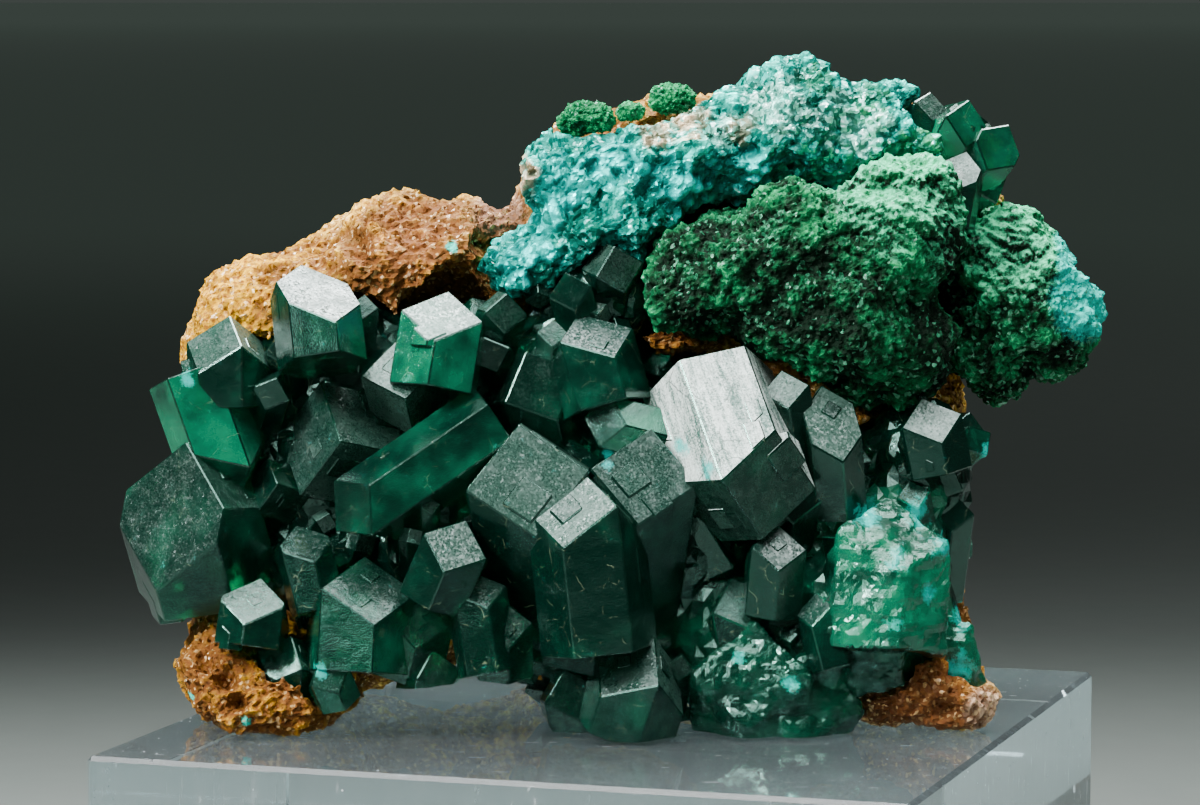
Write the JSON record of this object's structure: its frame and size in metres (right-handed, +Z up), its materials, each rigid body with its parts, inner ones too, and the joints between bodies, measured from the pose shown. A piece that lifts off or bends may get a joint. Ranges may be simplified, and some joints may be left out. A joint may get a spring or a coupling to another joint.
{
  "type": "mineral specimen on display block",
  "caption": "Dioptase crystals on pale calcite rock with velvety malachite and a turquoise crust, resting on a clear square acrylic block.",
  "frame": {"origin": "middle of the block's underside", "axes": "+Z up, -Y towards the side with the large crystals, +X to the right as seen from that side; the block is turned 18 degrees clockwise about +Z"},
  "size_m": [0.0798, 0.0798, 0.0713],
  "materials": {
    "acrylic": "clear cast acrylic with polished faces and fine edge bevels",
    "calcite": "sugary cream to rust-brown rock with pits and sparkling grains",
    "dioptase": "deep emerald crystals with glassy sides and frosted ends",
    "dioptase_crust": "turquoise druse of very small glassy crystals",
    "malachite": "velvety dark green lumps with fine radiating fibres"
  },
  "bodies": {
    "root": {"acrylic_base": "acrylic", "calcite_matrix": "calcite", "dioptase_front_cluster": "dioptase", "dioptase_top_right_crystals": "dioptase", "dioptase_top_crust": "dioptase_crust", "malachite_main_lobe": "malachite", "malachite_right_lobe": "malachite", "malachite_tuft_left": "malachite", "malachite_tuft_middle": "malachite", "malachite_tuft_right": "malachite"}
  },
  "joints": []
}
